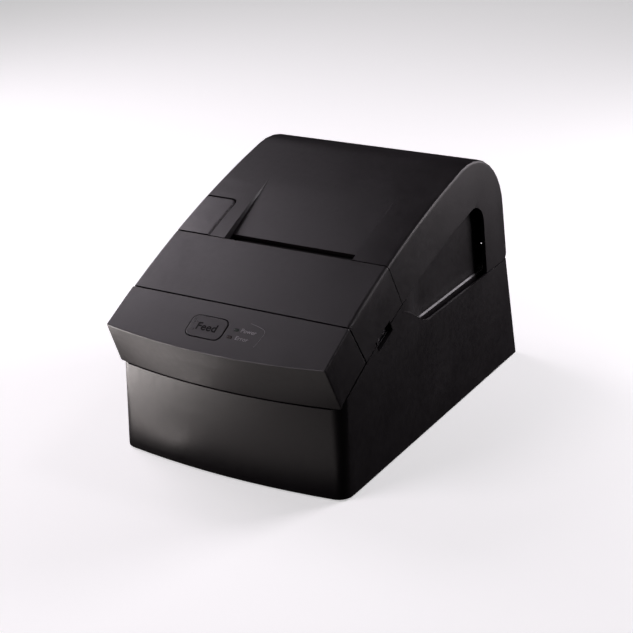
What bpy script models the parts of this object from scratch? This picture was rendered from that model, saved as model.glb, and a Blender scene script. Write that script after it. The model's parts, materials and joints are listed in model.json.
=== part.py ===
"""Thermal receipt printer: lower case, front panel, mid cover and a hinged rear lid around a print mechanism.

Lengths are millimetres from the case's front lower corner: X across to the printer's right-hand side, Y to the
rear, Z up from the table. put() turns them into metres about the part's origin, the middle of the footprint.
"""
import math

import bmesh
import bpy
from mathutils import Vector

# ---------------------------------------------------------------- driving dimensions
MM = 0.001
CASE_WIDTH = 145.0                   # across the foot of the case
CASE_DEPTH = 197.4                   # front corner to the foot of the rear wall
OVERHANG = 10.4                      # how far the bowed front panel stands ahead of that corner
WALL = 2.3
GAP = 0.4                            # seam between two covers
TOUCH = 0.3                          # clearance between pieces that rest on each other
FOOT_RISE = 1.0                      # rim of the case above the table
SIDE_DRAFT = 0.03                    # inward lean of the case's sides, per mm of height
BAND_LEAN = 0.06                     # extra lean of the covers' side bands

TOP_ARC = (266.5, -435.4, 580.8)     # side view: centre y, z and radius of the long top curve
REAR_ARC = (153.0, 95.4, 38.0)       # side view: the rounded rear shoulder
BAND = 26.6                          # depth of the covers' side bands, square to the top curve
CORNER_R = 2.0                       # rounding along the top's side edges
CASE_CORNER, REAR_CORNER = 6.5, 3.5  # rounding of the case's upright corners, in plan
SEAM_PANEL = 19.3                    # front panel to mid cover, along the top
SEAM_LID = 60.4                      # mid cover to lid
PANEL_FOOT = 51.2                    # lower edge of the front panel
CASE_TOP = 63.4                      # the case's ledge and rear wall
HINGE = (187.6, 67.4)                # lid hinge, y and z
HINGE_R = 3.4
POCKET_DEPTH = 5.8                   # how far the case's ears lie inside the lid's bands
POCKET_FRONT, POCKET_FULL = 72.0, 98.0
GROOVE = 4.5                         # depth of the groove that runs along the foot of each ear

SLOT_X = (-35.0, 46.0)               # paper slot across the lid's front edge
SLOT_REAR = 67.5
SCOOP_DEPTH, SCOOP_END = 3.6, 112.0  # the scoop in the lid behind the slot
OPEN_X, OPEN_REAR = -45.5, 90.8      # inner side and rear edge of the open button
KEY_R, KEY_DEPTH = 4.0, 12.0         # its rear corner, and how far its notch runs down the lid's side
KEY_GAP, KEY_ROOM = 0.5, 3.1         # its seam, and what is left below it so that it can be pressed
FEED_AT, FEED_SIZE = (-9.0, 3.75), (22.4, 13.8)
LED_AT = ((8.5, 5.9), (7.0, 0.75))   # power and error lamps on the front panel
SWITCH, SWITCH_TILT = (49.5, 72.8), 22.0

SLOPE = math.radians(20.6)           # the mechanism's tilt: paper leaves square to the top curve
SLOT_MID = (62.2, 108.2)             # y, z where the paper leaves
PLATEN, PLATEN_R = (7.8, 15.0), 7.0  # tilted frame: behind the paper path, below the slot
MODULE = 0.8
PLATEN_TEETH, IDLER_TEETH, PINION_TEETH = 20, 30, 12
LATCH_AT = (82.0, 88.0)
CHEEKS = ((-40.4, -39.2), (49.2, 50.4))
BUCKET = (134.0, 66.0, 43.0)         # paper well: centre y, z and inner radius
BUCKET_X = (-36.2, 46.8)
BOARD_TOP = 10.6
SCREWS = [(x, y) for x in (-66.2, 66.2) for y in (24.0, 172.0)]
FEET = [(x, y) for x in (-52.0, 52.0) for y in (18.0, 178.0)]
KNUCKLES = (-52.0, 52.0)

KEY_ENDS = tuple(OPEN_REAR - KEY_R + KEY_R * math.sin(math.radians(a)) for a in (0, 25, 50, 70, 90))
Y_ORIGIN = (CASE_DEPTH - OVERHANG) / 2
REAR_FACE = REAR_ARC[0] + REAR_ARC[2]
POCKET_REAR = REAR_FACE - BAND

SHELL = ("case_plastic", (0.020, 0.018, 0.020), 0.45, 0.0)
INNER = ("inner_plastic", (0.012, 0.012, 0.013), 0.6, 0.0)
BUTTON = ("button_plastic", (0.026, 0.024, 0.026), 0.42, 0.0)
STEEL = ("sheet_steel", (0.55, 0.56, 0.57), 0.35, 1.0)
ALUMINIUM = ("aluminium", (0.6, 0.61, 0.62), 0.4, 1.0)
RUBBER = ("rubber", (0.03, 0.03, 0.032), 0.85, 0.0)
GEAR = ("gear_plastic", (0.75, 0.74, 0.68), 0.5, 0.0)
CERAMIC = ("ceramic", (0.16, 0.10, 0.06), 0.3, 0.0)
BOARD = ("circuit_board", (0.02, 0.16, 0.07), 0.45, 0.0)
LENS = ("lens", (0.12, 0.13, 0.12), 0.2, 0.0)


# ---------------------------------------------------------------- helpers
def put(x, y, z):
    """A design point, in metres about the part's origin."""
    return Vector((x * MM, (y - Y_ORIGIN) * MM, z * MM))


def material(spec):
    name, colour, roughness, metallic = spec
    found = bpy.data.materials.get(name)
    if found:
        return found
    made = bpy.data.materials.new(name)
    made.use_nodes = True
    shader = made.node_tree.nodes["Principled BSDF"]
    shader.inputs["Base Color"].default_value = (*colour, 1.0)
    shader.inputs["Roughness"].default_value = roughness
    shader.inputs["Metallic"].default_value = metallic
    return made


def make(name, bm, spec, pivot=None):
    """Finish a mesh as a named object; pivot is a point of the axis that it turns or slides on."""
    bmesh.ops.recalc_face_normals(bm, faces=bm.faces)
    origin = put(*pivot) if pivot else Vector((0, 0, 0))
    bmesh.ops.translate(bm, verts=bm.verts, vec=-origin)
    mesh = bpy.data.meshes.new(name)
    bm.to_mesh(mesh)
    bm.free()
    mesh.shade_smooth()
    mesh.set_sharp_from_angle(angle=math.radians(32))
    mesh.materials.append(material(spec))
    obj = bpy.data.objects.new(name, mesh)
    obj.location = origin
    bpy.context.scene.collection.objects.link(obj)
    return obj


def combine(obj, bm, operation):
    """Cut a shape from an object, or join it on, with a live Boolean."""
    tool = make(f"{obj.name}_tool_{len(obj.modifiers)}", bm, SHELL)
    tool.hide_render = True
    tool.display_type = "WIRE"
    modifier = obj.modifiers.new(operation.title(), "BOOLEAN")
    modifier.operation = operation
    modifier.object = tool


def cut(obj, bm):
    combine(obj, bm, "DIFFERENCE")


def join(obj, bm):
    combine(obj, bm, "UNION")


def skin(loops, closed=False):
    """A solid through a row of closed loops of points, capped at both ends or closed on itself."""
    bm = bmesh.new()
    rings = [[bm.verts.new(put(*point)) for point in loop] for loop in loops]
    pairs = list(zip(rings, rings[1:]))
    if closed:
        pairs.append((rings[-1], rings[0]))
    for low, high in pairs:
        for i, vert in enumerate(low):
            j = (i + 1) % len(low)
            bm.faces.new((vert, low[j], high[j], high[i]))
    if not closed:
        bm.faces.new(rings[0][::-1])
        bm.faces.new(rings[-1])
    return bm


def across(outline, x_low, x_high):
    """A side-view outline of (y, z) points, given thickness along X."""
    return skin([[(x, y, z) for y, z in outline] for x in (x_low, x_high)])


def box(x_low, x_high, y_low, y_high, z_low, z_high):
    return across([(y_low, z_low), (y_high, z_low), (y_high, z_high), (y_low, z_high)], x_low, x_high)


def arc(y, z, radius, start, end, steps):
    """Points along a side-view arc, angles in degrees from +Y towards +Z."""
    turns = [math.radians(start + (end - start) * i / steps) for i in range(steps + 1)]
    return [(y + radius * math.cos(a), z + radius * math.sin(a)) for a in turns]


def disc(y, z, radius, sides):
    return arc(y, z, radius, 0.0, 360.0 - 360.0 / sides, sides - 1)


def rod(y, z, radius, x_low, x_high, sides=20):
    return across(disc(y, z, radius, sides), x_low, x_high)


def sleeve(outer, inner, x_low, x_high):
    """A body along X with a hole right through, from two outlines with the same number of points."""
    rings = [(outer, x_low), (outer, x_high), (inner, x_high), (inner, x_low)]
    return skin([[(x, y, z) for y, z in outline] for outline, x in rings], closed=True)


def tube(y, z, outer, inner, x_low, x_high, sides=20):
    return sleeve(disc(y, z, outer, sides), disc(y, z, inner, sides), x_low, x_high)


def upright(x, y, radius, z_low, z_high, sides=16):
    turns = [math.tau * i / sides for i in range(sides)]
    return skin([[(x + radius * math.cos(a), y + radius * math.sin(a), z) for a in turns]
                 for z in (z_low, z_high)])


def rounded(middle, size, radius, steps=3):
    """A rectangle with rounded corners, as (x, v) points."""
    points = []
    for turn, sx, sv in ((0, 1, 1), (90, -1, 1), (180, -1, -1), (270, 1, -1)):
        x = middle[0] + sx * (size[0] / 2 - radius)
        v = middle[1] + sv * (size[1] / 2 - radius)
        points += arc(x, v, radius, turn, turn + 90, steps)
    return points


def downward(frame, outline, low, high):
    """An outline of (x, v) points pushed down a tilted frame from depth low to depth high."""
    return skin([[(x, *frame(v, depth)) for x, v in outline] for depth in (low, high)])


def top_at(y):
    """Height of the long top curve over y."""
    cy, cz, radius = TOP_ARC
    return cz + math.sqrt(radius ** 2 - (y - cy) ** 2)


def under_top(y, depth):
    """The point a depth below the top curve, square to it at y."""
    cy, cz, radius = TOP_ARC
    share = 1 - depth / radius
    return (cy + (y - cy) * share, cz + (top_at(y) - cz) * share)


def frame_at(y):
    """A tilted side-view frame on the top curve: v runs rearwards along it, depth goes down square to it."""
    cy, cz, radius = TOP_ARC
    back = ((top_at(y) - cz) / radius, (cy - y) / radius)

    def point(v, depth):
        along = v - y
        return (y + along * back[0] + depth * back[1], top_at(y) + along * back[1] - depth * back[0])
    return point


def tilted(a, s):
    """Side-view point in the mechanism's frame: a behind the paper path, s below the slot."""
    ca, sa = math.cos(SLOPE), math.sin(SLOPE)
    return (SLOT_MID[0] + a * ca + s * sa, SLOT_MID[1] + a * sa - s * ca)


def tilted_box(a_low, a_high, s_low, s_high, x_low, x_high):
    corners = [(a_low, s_low), (a_high, s_low), (a_high, s_high), (a_low, s_high)]
    return across([tilted(a, s) for a, s in corners], x_low, x_high)


def half_width(z):
    return CASE_WIDTH / 2 - SIDE_DRAFT * z


def ease(value):
    value = min(max(value, 0.0), 1.0)
    return value * value * (3 - 2 * value)


def switch_block(half_long, half_short, x_low, x_high):
    """A block along the slope of the side bands, centred on the power switch."""
    tilt = math.radians(SWITCH_TILT)
    outline = []
    for u, v in ((-1, -1), (1, -1), (1, 1), (-1, 1)):
        along, up = u * half_long, v * half_short
        outline.append((SWITCH[0] + along * math.cos(tilt) - up * math.sin(tilt),
                        SWITCH[1] + along * math.sin(tilt) + up * math.cos(tilt)))
    return across(outline, x_low, x_high)


# ---------------------------------------------------------------- lower case
def front_y(z):
    return 4.0 * z / PANEL_FOOT


def front_bow(z):
    return 5.5 + 1.7 * z / PANEL_FOOT


def rear_y(z):
    return CASE_DEPTH - (CASE_DEPTH - REAR_FACE) * z / CASE_TOP


def band_foot(y, depth):
    """Height, over y, of the curve that lies a depth inside the top curve and the rear shoulder."""
    cy, cz, radius = REAR_ARC if y > REAR_ARC[0] else TOP_ARC
    return cz + math.sqrt(max((radius - depth) ** 2 - (y - cy) ** 2, 0.0))


def pocket_depth(y):
    return POCKET_DEPTH * ease((y - POCKET_FRONT) / (POCKET_FULL - POCKET_FRONT))


def case_side(y, side):
    """Outer and inner points up one side; behind the seam the side dips in a groove and runs up as the ear."""
    deep = pocket_depth(y)
    share = deep / POCKET_DEPTH
    top = band_foot(y, BAND - 6.0 if y > 88.0 else BAND + GAP)
    ledge = CASE_TOP + 15.0 * (1 - ease((y - 68.0) / 29.0))
    dip = GROOVE * ease((y - 84.0) / 9.0)
    if y > POCKET_REAR + 5.0:
        top, dip = CASE_TOP + 0.8, 0.0
    if y > POCKET_REAR + 8.0:
        deep, share, top = 0.0, 0.0, CASE_TOP
    ledge = min(ledge, top - 0.6)
    floor = min(ledge + 1.2, top - 0.1)
    below = ledge - dip - WALL * share
    outside = ((FOOT_RISE, 0), (ledge / 2, 0), (ledge, 0), (ledge + 0.08, 0.2), (ledge + 0.16 - dip, 0.22),
               (ledge + 0.24 - dip, 0.84), (ledge + 0.35, 0.88), (floor, 1), (top, 1))
    inside = ((FOOT_RISE, 0), (ledge / 2, 0), (below, 0), (below + 0.3, 1), (floor - 0.1 - share, 1), (top, 1))
    outer = [(side * (half_width(z) - deep * part), y, z) for z, part in outside]
    inner = [(side * (half_width(z) - deep * part - WALL), y, z) for z, part in inside]
    return outer + inner[::-1]


def wall_heights(top):
    """Heights of the points up the front and rear walls, outside and inside, one for each of a side's points."""
    return ((FOOT_RISE, top * 0.5, top - 7.0, top - 6.0, top - 5.0, top - 4.0, top - 3.0, top - 1.5, top),
            (FOOT_RISE, top * 0.5, top - 7.0, top - 5.0, top - 3.0, top))


def case_front(share, turn, side):
    """Outer and inner points up the bowed front wall; turn runs round the corner, from 0 to 90 degrees."""
    round_by = CASE_CORNER * (1 - math.cos(math.radians(turn)))
    top = PANEL_FOOT - GAP
    top += (band_foot(front_y(PANEL_FOOT) + round_by, BAND + GAP) - top) * min(round_by / 2.0, 1.0)
    walls = []
    for heights, inset in zip(wall_heights(top), (0.0, WALL)):
        radius = CASE_CORNER - inset
        points = []
        for z in heights:
            half = half_width(z) - inset
            x = share * (half - radius) + radius * math.sin(math.radians(turn))
            bow = front_bow(z) * (1 - (x / half) ** 2)
            y = front_y(z) + inset - bow + radius * (1 - math.cos(math.radians(turn)))
            points.append((side * x, y, z))
        walls.append(points)
    return walls[0] + walls[1][::-1]


def case_rear(share, turn, side):
    """Outer and inner points up the rear wall; turn runs round its corner, from 90 to 0 degrees."""
    walls = []
    for heights, inset in zip(wall_heights(CASE_TOP), (0.0, WALL)):
        radius = REAR_CORNER - inset
        points = []
        for z in heights:
            x = share * (half_width(z) - inset - radius) + radius * math.sin(math.radians(turn))
            y = rear_y(z) - inset - radius * (1 - math.cos(math.radians(turn)))
            points.append((side * x, y, z))
        walls.append(points)
    return walls[0] + walls[1][::-1]


def lower_case():
    """Case: bowed front, drafted sides with ears that run up inside the lid, rear wall; open above and below."""
    stations = (11, 18, 28, 40, 52, 62, 70, 74, 78, 82, 86, 87.9, 90, 94, 98, 108, 118, 128, 138, 148, 153,
                158, 162, 168, 171, 175, 184)
    ring = []
    for side in (1, -1):
        half = [case_front(share, 0, side) for share in (0.0, 0.2, 0.4, 0.6, 0.8)]
        half += [case_front(1.0, turn, side) for turn in (0, 25, 50, 75)]
        half += [case_side(y, side) for y in stations]
        half += [case_rear(1.0, turn, side) for turn in (75, 50, 25, 0)]
        half += [case_rear(share, 0, side) for share in (0.5, 0.0)]
        ring += half if side == 1 else half[1:-1][::-1]
    case = make("lower_case", skin(ring, closed=True), SHELL)
    for x, y in SCREWS:
        join(case, upright(x, y, 4.3, 3.9, 20.0))
        cut(case, upright(x, y, 1.5, 3.0, 12.0))
    y, z = HINGE
    for middle in KNUCKLES:
        web = [(y - 3.2, 54.0), (rear_y(54.0) - 0.5, 54.0), (rear_y(CASE_TOP) - 0.5, CASE_TOP - 0.6)]
        web += arc(y, z, HINGE_R - 0.2, -20.0, 180.0, 10)
        join(case, across(web, middle - 5.0, middle + 5.0))
        cut(case, rod(y, z, 1.75, middle - 12.0, middle + 12.0, 16))
    cut(case, switch_block(8.2, 3.2, 55.0, 80.0))
    cut(case, box(-52.0, 52.0, 180.0, 205.0, 7.0, 29.0))


def bottom_plate():
    half = half_width(FOOT_RISE) - WALL - 0.6
    front, rear = front_y(3.6) + WALL + 0.5, rear_y(3.6) - WALL - 0.6
    shares = (-0.93, -0.6, -0.3, 0.0, 0.3, 0.6, 0.93)
    outline = [(half * share, front - front_bow(0) * (1 - share ** 2)) for share in shares]
    outline += [(half, front + 7.0), (half, rear - 5.0), (half * 0.93, rear)]
    outline += [(-half * 0.93, rear), (-half, rear - 5.0), (-half, front + 7.0)]
    plate = make("bottom_plate", skin([[(x, y, z) for x, y in outline] for z in (1.6, 3.6)]), SHELL)
    for x, y in SCREWS:
        cut(plate, upright(x, y, 1.9, 0.0, 6.0))
    for x in (-50.0, 50.0):
        for y in (102.0, 168.0):
            join(plate, upright(x, y, 3.0, 3.0, 8.7, 12))


def feet_and_screws():
    for i, (x, y) in enumerate(FEET, 1):
        rings = [(6.0, 0.0), (6.5, 1.0), (6.5, 1.3)]
        turns = [math.tau * k / 20 for k in range(20)]
        loops = [[(x + r * math.cos(a), y + r * math.sin(a), z) for a in turns] for r, z in rings]
        make(f"rubber_foot_{i}", skin(loops), RUBBER)
    for i, (x, y) in enumerate(SCREWS, 1):
        rings = [(2.2, 0.4), (2.8, 0.7), (2.8, 1.3), (1.2, 1.31), (1.2, 10.0), (0.4, 11.0)]
        turns = [math.tau * k / 14 for k in range(14)]
        loops = [[(x + r * math.cos(a), y + r * math.sin(a), z) for a in turns] for r, z in rings]
        make(f"case_screw_{i}", skin(loops), STEEL)


# ---------------------------------------------------------------- covers
def band_half(y, depth):
    """Half width of a cover where its side band has run a depth down from the top curve at y."""
    foot = under_top(y, BAND)[1]
    return half_width(foot) - BAND_LEAN * (BAND - depth)


def hood_loop(place, inward, leg, top_half, foot_half, scoop=None):
    """One arch of a cover, outer side then inner: band, rounded edge, top with its scoop, band."""
    left, right, dip = scoop or (-10.0, 10.0, 0.0)
    bend = CORNER_R * (1 - math.sqrt(0.5))
    outer = [(foot_half, leg), (top_half, CORNER_R), (top_half - bend, bend), (top_half - CORNER_R, 0),
             (right + 0.5, 0), (right, dip), (left, dip), (left - 0.5, 0),
             (-top_half + CORNER_R, 0), (-top_half + bend, bend), (-top_half, CORNER_R), (-foot_half, leg)]
    slim = top_half - WALL
    inner = [(foot_half - WALL, leg), (slim, WALL + 1), (slim - 1, WALL), (right + 2.4, WALL),
             (right + 1.8, dip + WALL), (left - 1.8, dip + WALL), (left - 2.4, WALL),
             (-slim + 1, WALL), (-slim, WALL + 1), (-foot_half + WALL, leg)]
    return [(x, place[0] + inward[0] * d, place[1] + inward[1] * d) for x, d in outer + inner[::-1]]


def top_loop(y, scoop=None):
    low = under_top(y, 1.0)
    inward = (low[0] - y, low[1] - top_at(y))
    return hood_loop((y, top_at(y)), inward, BAND, band_half(y, 0), half_width(under_top(y, BAND)[1]), scoop)


def mid_cover():
    start, end = SEAM_PANEL + GAP / 2, SEAM_LID - GAP / 2
    loops = [top_loop(start + (end - start) * i / 6) for i in range(7)]
    cover = make("mid_cover", skin(loops), SHELL)
    cut(cover, switch_block(8.2, 3.2, 55.0, 80.0))


def panel_core(inset):
    """The front panel's outer form, or with an inset the hollow inside it, open behind and below."""
    loops = []
    for share in (-1, -0.9, -0.75, -0.5, -0.25, 0, 0.25, 0.5, 0.75, 0.9, 1):
        bow = 1 - share ** 2
        brow = -6.1 - (OVERHANG - 6.1) * bow + inset
        lip = front_y(PANEL_FOOT) - front_bow(PANEL_FOOT) * bow + inset
        rear = SEAM_PANEL - GAP / 2 + (9.0 if inset else 0.0)
        tops = [rear, 10.0, brow + 7.0, brow]
        profile = [(*under_top(y, inset), band_half(y, 0)) for y in tops]
        wide = half_width(PANEL_FOOT)
        if inset:
            profile += [(lip, PANEL_FOOT - 6.0, wide), (rear + 20.0, PANEL_FOOT - 6.0, wide)]
        else:
            profile += [(lip, PANEL_FOOT, wide)]
            for y in (lip + 1.8, 12.0, 21.0, under_top(rear, BAND)[0]):
                z = max(band_foot(y, BAND), PANEL_FOOT)
                profile.append((y, z, half_width(z)))
        loops.append([(share * (half - inset), y, z) for y, z, half in profile])
    return skin(loops)


def front_panel():
    panel = make("front_panel", panel_core(0.0), SHELL)
    edges = panel.modifiers.new("Edges", "BEVEL")
    edges.width = 0.9 * MM
    edges.segments = 2
    edges.angle_limit = math.radians(50)
    cut(panel, panel_core(WALL))
    frame = frame_at(FEED_AT[1])
    cut(panel, downward(frame, rounded(FEED_AT, (FEED_SIZE[0] + 1.0, FEED_SIZE[1] + 1.0), 4.3), -3.0, 6.0))
    for place in LED_AT:
        cut(panel, downward(frame, rounded(place, (3.2, 1.9), 0.6, 2), -3.0, 6.0))


def scoop_at(y):
    """Left edge, right edge and depth of the scoop in the lid."""
    along = min(max((y - SEAM_LID) / (SCOOP_END - SEAM_LID), 0.0), 1.0)
    return (SLOT_X[0] - 3.0 * along, SLOT_X[1] - 1.0 * along, SCOOP_DEPTH * (1 - along))


def lid():
    """Rear lid: the arched cover over the paper well, with its scoop, button corner and hinge barrel."""
    joint = 145.1
    start = SEAM_LID + GAP / 2
    loops = []
    for y in (start, SLOT_REAR, 69, 75, 82, 89, 96, 104, SCOOP_END, 121, 130, 138, joint):
        loops.append(top_loop(y, scoop_at(y)))
    cy, cz, radius = REAR_ARC
    first = math.degrees(math.acos((joint - cy) / radius))
    for i in range(1, 11):
        turn = math.radians(first * (1 - i / 10))
        inward = (-math.cos(turn), -math.sin(turn))
        foot_z = cz + (radius - BAND) * math.sin(turn)
        lean = BAND_LEAN * BAND * (0.4 + 0.6 * turn / math.radians(first))
        foot_half = half_width(foot_z)
        place = (cy - radius * inward[0], cz - radius * inward[1])
        loops.append(hood_loop(place, inward, BAND, foot_half - lean, foot_half))
    for y, z in [(REAR_FACE, 80.0)] + arc(*HINGE, HINGE_R, 0, -90, 4):
        foot_half = half_width(z)
        lean = BAND_LEAN * BAND * 0.4 * max(z - 64.0, 0) / 31.0
        loops.append(hood_loop((y, z), (-1, 0), y - POCKET_REAR, foot_half - lean, foot_half))
    cover = make("lid", skin(loops), SHELL)
    join(cover, rod(*HINGE, HINGE_R - 0.02, -66.5, 66.5, 24))
    for middle in KNUCKLES:
        cut(cover, box(middle - 5.4, middle + 5.4, HINGE[0] - 9.0, HINGE[0] + 9.0, 60.0, HINGE[1] + HINGE_R + 0.2))
        cut(cover, rod(*HINGE, 1.75, middle - 12.5, middle + 12.5, 16))
    front = frame_at(SEAM_LID)
    mouth = [(SLOT_X[0], 50), (SLOT_X[1], 50), (SLOT_X[1], SLOT_REAR), (SLOT_X[0], SLOT_REAR)]
    cut(cover, downward(front, mouth, -4, 9))
    loops = []
    for y in (50.0, 62.0, 72.0, 80.0) + KEY_ENDS:
        corners = [(-90.0, -4.0), (key_edge(y), -4.0), (key_edge(y), KEY_DEPTH), (-90.0, KEY_DEPTH)]
        loops.append([(x, *under_top(y, depth)) for x, depth in corners])
    cut(cover, skin(loops))


def key_edge(y, inset=0.0):
    """Inner side of the open button's place over y, rounded towards its rear end."""
    past = max(y - (OPEN_REAR - KEY_R), 0.0)
    return OPEN_X - inset - KEY_R + math.sqrt(max(KEY_R ** 2 - past ** 2, 0.0))


def open_button():
    """The corner key of the lid; a stem below it presses the latch lever."""
    low = KEY_DEPTH - KEY_ROOM
    apron = KEY_DEPTH + 2.0
    inset = WALL + KEY_GAP
    loops = []
    for edge in (SEAM_LID + 0.7 + KEY_GAP, 68.0, 76.0, 84.0) + KEY_ENDS:
        y = edge - KEY_GAP
        inner_x = key_edge(edge, KEY_GAP)
        top_half = band_half(y, 0)
        low_half = band_half(y, low)
        apron_half = band_half(y, apron)
        bend = CORNER_R * (1 - math.sqrt(0.5))
        outer = [(inner_x, 0), (-top_half + CORNER_R, 0), (-top_half + bend, bend), (-top_half, CORNER_R),
                 (-low_half, low), (-low_half + inset, low), (-apron_half + inset, apron)]
        inner = [(-apron_half + inset + 1.4, apron), (-top_half + inset + 1.4, 4), (-top_half + inset + 3, 2),
                 (inner_x, 2)]
        loops.append([(x, *under_top(y, depth)) for x, depth in outer + inner])
    key = make("open_button", skin(loops), BUTTON, pivot=(-57.0, 76.0, top_at(76.0)))
    stem = [(-55.6, 82.0), (-51.4, 82.0), (-51.4, 86.0), (-55.6, 86.0)]
    join(key, downward(frame_at(76.0), stem, 1.0, 21.2))


def feed_button():
    frame = frame_at(FEED_AT[1])
    cap = downward(frame, rounded(FEED_AT, FEED_SIZE, 3.8), -0.15, 1.8)
    key = make("feed_button", cap, BUTTON, pivot=(FEED_AT[0], *frame(FEED_AT[1], 0)))
    join(key, downward(frame, rounded(FEED_AT, (5.0, 5.0), 0.5, 1), 1.0, 3.6))
    for name, place in zip(("power_light_pipe", "error_light_pipe"), LED_AT):
        make(name, downward(frame, rounded(place, (2.6, 1.3), 0.4, 2), -0.05, 6.6), LENS)
    board = downward(frame, rounded((-3.0, 3.0), (46.0, 15.0), 1.0, 1), 8.0, 9.4)
    make("panel_board", board, BOARD)
    make("feed_switch", downward(frame, rounded(FEED_AT, (6.0, 6.0), 0.5, 1), 4.9, 7.7), INNER)
    for name, place in zip(("power_lamp", "error_lamp"), LED_AT):
        make(name, downward(frame, rounded(place, (3.0, 1.5), 0.2, 1), 6.95, 7.7), LENS)


def power_switch():
    """Rocker switch in the right-hand side, a little below the surface."""
    body = make("switch_body", switch_block(7.8, 2.8, 57.0, 68.4), INNER)
    cut(body, switch_block(6.6, 2.1, 62.5, 70.0))
    tilt = math.radians(SWITCH_TILT)
    rocker = [(-5.8, 68.9), (0.0, 67.6), (5.8, 67.9), (5.2, 65.4), (1.0, 63.8), (-1.0, 63.8), (-5.2, 65.4)]
    loops = []
    for up in (-1.8, 1.8):
        loops.append([(x, SWITCH[0] + u * math.cos(tilt) - up * math.sin(tilt),
                       SWITCH[1] + u * math.sin(tilt) + up * math.cos(tilt)) for u, x in rocker])
    make("power_rocker", skin(loops), BUTTON, pivot=(66.0, *SWITCH))


# ---------------------------------------------------------------- print mechanism
def gear_outline(centre, teeth, phase):
    """Plain trapezoid teeth; phase is the side-view direction, in degrees, of one tooth."""
    pitch_r = MODULE * teeth / 2
    points = []
    for k in range(teeth):
        middle = math.radians(phase) + math.tau * k / teeth
        step = math.tau / teeth
        for share, radius in ((-0.33, pitch_r - 1.15 * MODULE), (-0.11, pitch_r + 0.85 * MODULE),
                              (0.11, pitch_r + 0.85 * MODULE), (0.33, pitch_r - 1.15 * MODULE)):
            turn = middle + share * step
            points.append((centre[0] + radius * math.cos(turn), centre[1] + radius * math.sin(turn)))
    return points


def gear(name, centre, teeth, phase, bore, x_low, x_high):
    outline = gear_outline(centre, teeth, phase)
    hole = []
    for y, z in outline:
        turn = math.atan2(z - centre[1], y - centre[0])
        hole.append((centre[0] + bore * math.cos(turn), centre[1] + bore * math.sin(turn)))
    make(name, sleeve(outline, hole, x_low, x_high), GEAR, pivot=(0.0, *centre))


def gear_train():
    """Motor pinion, idler and platen gear; the idler lies in the lid's way of opening, so the mesh parts cleanly."""
    platen = tilted(*PLATEN)
    reach = (platen[0] - HINGE[0], platen[1] - HINGE[1])
    length = math.hypot(*reach)
    down = (-reach[1] / length, reach[0] / length)
    mesh = MODULE * (PLATEN_TEETH + IDLER_TEETH) / 2
    idler = (platen[0] + down[0] * mesh, platen[1] + down[1] * mesh)
    up = math.degrees(math.atan2(-down[1], -down[0]))
    forward = 225.0
    second = MODULE * (IDLER_TEETH + PINION_TEETH) / 2
    pinion = (idler[0] + second * math.cos(math.radians(forward)),
              idler[1] + second * math.sin(math.radians(forward)))
    gear("platen_gear", platen, PLATEN_TEETH, up + 180 + 180 / PLATEN_TEETH, 2.62, 51.4, 56.4)
    gear("idler_gear", idler, IDLER_TEETH, up, 1.65, 51.6, 55.6)
    pinion_phase = forward + 180 - (up - forward) * IDLER_TEETH / PINION_TEETH + 180 / PINION_TEETH
    gear("motor_pinion", pinion, PINION_TEETH, pinion_phase, 1.12, 51.6, 56.6)
    make("idler_axle", rod(*idler, 1.5, 50.7, 57.0, 16), STEEL)
    make("motor_shaft", rod(*pinion, 1.0, 49.1, 57.0, 12), STEEL, pivot=(0.0, *pinion))
    motor = make("feed_motor", rod(*pinion, 14.6, 22.0, 46.4, 32), STEEL)
    join(motor, rod(*pinion, 16.6, 46.0, 48.2, 32))
    join(motor, rod(*pinion, 4.2, 48.0, 48.8, 16))
    return pinion


def print_frame(pinion):
    """Folded steel frame: a back plate between two cheeks that stand on legs and carry the platen's notches."""
    head = [(-15.2, 6.0), (16.0, 6.0), (16.0, 33.0)]
    legs = [(74.0, 70.0), (74.0, 4.2), (50.0, 4.2), (50.0, 62.0)]
    outline = [tilted(a, s) for a, s in head] + legs + [tilted(-15.2, 28.0)]
    frame = make("print_frame", across(outline, *CHEEKS[0]), STEEL)
    join(frame, across(outline, *CHEEKS[1]))
    join(frame, tilted_box(-15.1, -13.9, 6.5, 22.0, CHEEKS[0][1] - 0.6, CHEEKS[1][0] + 0.6))
    platen = tilted(*PLATEN)
    length = math.hypot(platen[0] - HINGE[0], platen[1] - HINGE[1])
    out = ((platen[1] - HINGE[1]) / length, (HINGE[0] - platen[0]) / length)
    notch = arc(*platen, 4.8, math.degrees(math.atan2(out[1], out[0])) - 270,
                math.degrees(math.atan2(out[1], out[0])) - 90, 8)
    notch += [(notch[-1][0] + 30 * out[0], notch[-1][1] + 30 * out[1]),
              (notch[0][0] + 30 * out[0], notch[0][1] + 30 * out[1])]
    cut(frame, across(notch, -45.0, 55.0))
    cut(frame, rod(*LATCH_AT, 2.1, -45.0, 55.0, 16))
    cut(frame, rod(*pinion, 5.0, 48.0, 55.0, 16))


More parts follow.
